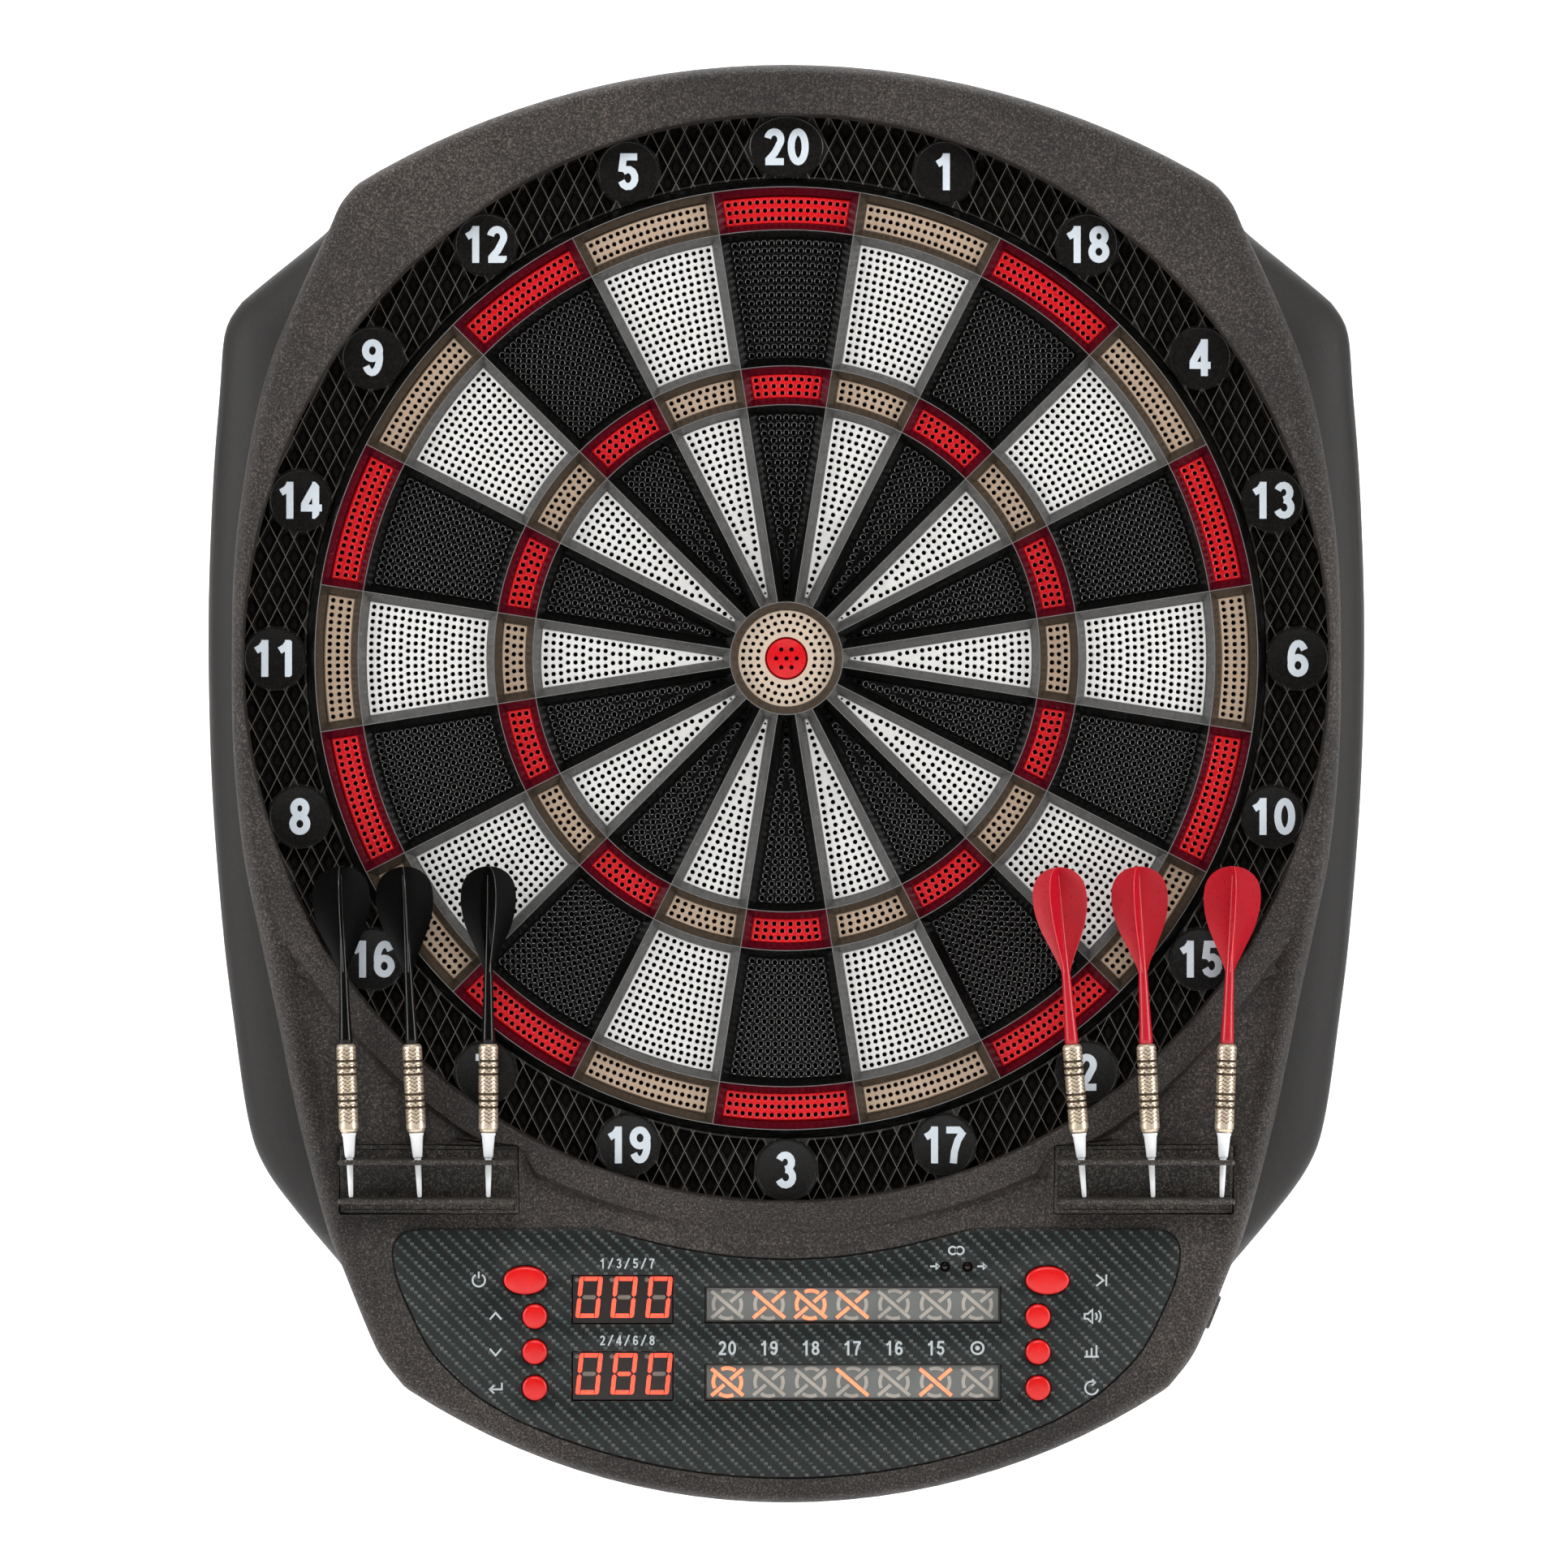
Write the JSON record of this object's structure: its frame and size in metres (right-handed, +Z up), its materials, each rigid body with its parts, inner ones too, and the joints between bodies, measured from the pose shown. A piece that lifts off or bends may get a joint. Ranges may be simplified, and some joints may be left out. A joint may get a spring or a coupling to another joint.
{
  "type": "electronic dartboard",
  "caption": "Wall-hung electronic soft-tip dartboard with pressable scoring segments, score displays, push buttons and soft-tip darts parked in two side holders.",
  "frame": {"origin": "where the bullseye's axis meets the wall, on the board's flat back", "axes": "+Z up, front and player towards -Y, wall towards +Y, +X to the right as seen by the player"},
  "size_m": [0.487, 0.064, 0.5999],
  "materials": {
    "body_plastic": "satin fine grain",
    "ring_plastic": "gloss",
    "smoke_plastic": "clear smoke tint",
    "pad_white": "satin",
    "pad_black": "gloss",
    "pad_beige": "satin",
    "pad_red": "satin",
    "button_red": "gloss",
    "rubber": "matt",
    "fibreboard": "matt",
    "membrane_film": "satin",
    "fascia_print": "printed twill under gloss",
    "circuit_board": "satin",
    "score_window": "gloss",
    "mark_window": "satin",
    "jack_plastic": "satin",
    "dart_black": "gloss",
    "dart_red": "gloss",
    "dart_brass": "plated",
    "dart_tip": "satin",
    "screw_steel": "plated"
  },
  "bodies": {
    "board": {"rear_housing": "body_plastic", "front_bezel": "body_plastic", "catch_ring": "ring_plastic", "web": "smoke_plastic", "backing_plate": "fibreboard", "switch_matrix": "membrane_film", "rubber_mat": "rubber", "fascia": "fascia_print", "circuit_board": "circuit_board", "score_display_upper": "score_window", "score_display_lower": "score_window", "cricket_display_upper": "mark_window", "cricket_display_lower": "mark_window", "speaker": "rubber", "power_jack": "jack_plastic", "dart_holder_left": "body_plastic", "dart_holder_right": "body_plastic", "screw_1": "screw_steel", "screw_2": "screw_steel", "screw_3": "screw_steel", "screw_4": "screw_steel", "screw_5": "screw_steel", "screw_6": "screw_steel"},
    "segment_group_20": {"segments_20": "pad_black"},
    "segment_group_1": {"segments_1": "pad_white"},
    "segment_group_18": {"segments_18": "pad_black"},
    "segment_group_4": {"segments_4": "pad_white"},
    "segment_group_13": {"segments_13": "pad_black"},
    "segment_group_6": {"segments_6": "pad_white"},
    "segment_group_10": {"segments_10": "pad_black"},
    "segment_group_15": {"segments_15": "pad_white"},
    "segment_group_2": {"segments_2": "pad_black"},
    "segment_group_17": {"segments_17": "pad_white"},
    "segment_group_3": {"segments_3": "pad_black"},
    "segment_group_19": {"segments_19": "pad_white"},
    "segment_group_7": {"segments_7": "pad_black"},
    "segment_group_16": {"segments_16": "pad_white"},
    "segment_group_8": {"segments_8": "pad_black"},
    "segment_group_11": {"segments_11": "pad_white"},
    "segment_group_14": {"segments_14": "pad_black"},
    "segment_group_9": {"segments_9": "pad_white"},
    "segment_group_12": {"segments_12": "pad_black"},
    "segment_group_5": {"segments_5": "pad_white"},
    "bull_outer_body": {"bull_outer": "pad_beige"},
    "bull_inner_body": {"bull_inner": "pad_red"},
    "button_on_off_body": {"button_on_off": "button_red"},
    "button_up_body": {"button_up": "button_red"},
    "button_down_body": {"button_down": "button_red"},
    "button_enter_body": {"button_enter": "button_red"},
    "button_next_body": {"button_next": "button_red"},
    "button_sound_body": {"button_sound": "button_red"},
    "button_handicap_body": {"button_handicap": "button_red"},
    "button_miss_reset_body": {"button_miss_reset": "button_red"},
    "dart_left_1_body": {"dart_left_1": "dart_black"},
    "dart_left_2_body": {"dart_left_2": "dart_black"},
    "dart_left_3_body": {"dart_left_3": "dart_black"},
    "dart_right_1_body": {"dart_right_1": "dart_red"},
    "dart_right_2_body": {"dart_right_2": "dart_red"},
    "dart_right_3_body": {"dart_right_3": "dart_red"}
  },
  "joints": [
    {"name": "press_20", "type": "slide", "parent": "board", "child": "segment_group_20", "axis": [0, 1, 0], "range_m": [0, 0.0015]},
    {"name": "press_1", "type": "slide", "parent": "board", "child": "segment_group_1", "axis": [0, 1, 0], "range_m": [0, 0.0015]},
    {"name": "press_18", "type": "slide", "parent": "board", "child": "segment_group_18", "axis": [0, 1, 0], "range_m": [0, 0.0015]},
    {"name": "press_4", "type": "slide", "parent": "board", "child": "segment_group_4", "axis": [0, 1, 0], "range_m": [0, 0.0015]},
    {"name": "press_13", "type": "slide", "parent": "board", "child": "segment_group_13", "axis": [0, 1, 0], "range_m": [0, 0.0015]},
    {"name": "press_6", "type": "slide", "parent": "board", "child": "segment_group_6", "axis": [0, 1, 0], "range_m": [0, 0.0015]},
    {"name": "press_10", "type": "slide", "parent": "board", "child": "segment_group_10", "axis": [0, 1, 0], "range_m": [0, 0.0015]},
    {"name": "press_15", "type": "slide", "parent": "board", "child": "segment_group_15", "axis": [0, 1, 0], "range_m": [0, 0.0015]},
    {"name": "press_2", "type": "slide", "parent": "board", "child": "segment_group_2", "axis": [0, 1, 0], "range_m": [0, 0.0015]},
    {"name": "press_17", "type": "slide", "parent": "board", "child": "segment_group_17", "axis": [0, 1, 0], "range_m": [0, 0.0015]},
    {"name": "press_3", "type": "slide", "parent": "board", "child": "segment_group_3", "axis": [0, 1, 0], "range_m": [0, 0.0015]},
    {"name": "press_19", "type": "slide", "parent": "board", "child": "segment_group_19", "axis": [0, 1, 0], "range_m": [0, 0.0015]},
    {"name": "press_7", "type": "slide", "parent": "board", "child": "segment_group_7", "axis": [0, 1, 0], "range_m": [0, 0.0015]},
    {"name": "press_16", "type": "slide", "parent": "board", "child": "segment_group_16", "axis": [0, 1, 0], "range_m": [0, 0.0015]},
    {"name": "press_8", "type": "slide", "parent": "board", "child": "segment_group_8", "axis": [0, 1, 0], "range_m": [0, 0.0015]},
    {"name": "press_11", "type": "slide", "parent": "board", "child": "segment_group_11", "axis": [0, 1, 0], "range_m": [0, 0.0015]},
    {"name": "press_14", "type": "slide", "parent": "board", "child": "segment_group_14", "axis": [0, 1, 0], "range_m": [0, 0.0015]},
    {"name": "press_9", "type": "slide", "parent": "board", "child": "segment_group_9", "axis": [0, 1, 0], "range_m": [0, 0.0015]},
    {"name": "press_12", "type": "slide", "parent": "board", "child": "segment_group_12", "axis": [0, 1, 0], "range_m": [0, 0.0015]},
    {"name": "press_5", "type": "slide", "parent": "board", "child": "segment_group_5", "axis": [0, 1, 0], "range_m": [0, 0.0015]},
    {"name": "press_bull_outer", "type": "slide", "parent": "board", "child": "bull_outer_body", "axis": [0, 1, 0], "range_m": [0, 0.0015]},
    {"name": "press_bull_inner", "type": "slide", "parent": "board", "child": "bull_inner_body", "axis": [0, 1, 0], "range_m": [0, 0.0015]},
    {"name": "push_on_off", "type": "slide", "parent": "board", "child": "button_on_off_body", "axis": [0, 1, 0], "range_m": [0, 0.0012]},
    {"name": "push_up", "type": "slide", "parent": "board", "child": "button_up_body", "axis": [0, 1, 0], "range_m": [0, 0.0012]},
    {"name": "push_down", "type": "slide", "parent": "board", "child": "button_down_body", "axis": [0, 1, 0], "range_m": [0, 0.0012]},
    {"name": "push_enter", "type": "slide", "parent": "board", "child": "button_enter_body", "axis": [0, 1, 0], "range_m": [0, 0.0012]},
    {"name": "push_next", "type": "slide", "parent": "board", "child": "button_next_body", "axis": [0, 1, 0], "range_m": [0, 0.0012]},
    {"name": "push_sound", "type": "slide", "parent": "board", "child": "button_sound_body", "axis": [0, 1, 0], "range_m": [0, 0.0012]},
    {"name": "push_handicap", "type": "slide", "parent": "board", "child": "button_handicap_body", "axis": [0, 1, 0], "range_m": [0, 0.0012]},
    {"name": "push_miss_reset", "type": "slide", "parent": "board", "child": "button_miss_reset_body", "axis": [0, 1, 0], "range_m": [0, 0.0012]},
    {"name": "lift_dart_left_1", "type": "slide", "parent": "board", "child": "dart_left_1_body", "axis": [-0.0332, 0, 0.9995], "range_m": [0, 0.045]},
    {"name": "lift_dart_left_2", "type": "slide", "parent": "board", "child": "dart_left_2_body", "axis": [-0.0506, 0, 0.9987], "range_m": [0, 0.045]},
    {"name": "lift_dart_left_3", "type": "slide", "parent": "board", "child": "dart_left_3_body", "axis": [0, 0, 1], "range_m": [0, 0.045]},
    {"name": "lift_dart_right_1", "type": "slide", "parent": "board", "child": "dart_right_1_body", "axis": [-0.0819, 0, 0.9966], "range_m": [0, 0.045]},
    {"name": "lift_dart_right_2", "type": "slide", "parent": "board", "child": "dart_right_2_body", "axis": [-0.0454, 0, 0.999], "range_m": [0, 0.045]},
    {"name": "lift_dart_right_3", "type": "slide", "parent": "board", "child": "dart_right_3_body", "axis": [0.0349, 0, 0.9994], "range_m": [0, 0.045]}
  ]
}
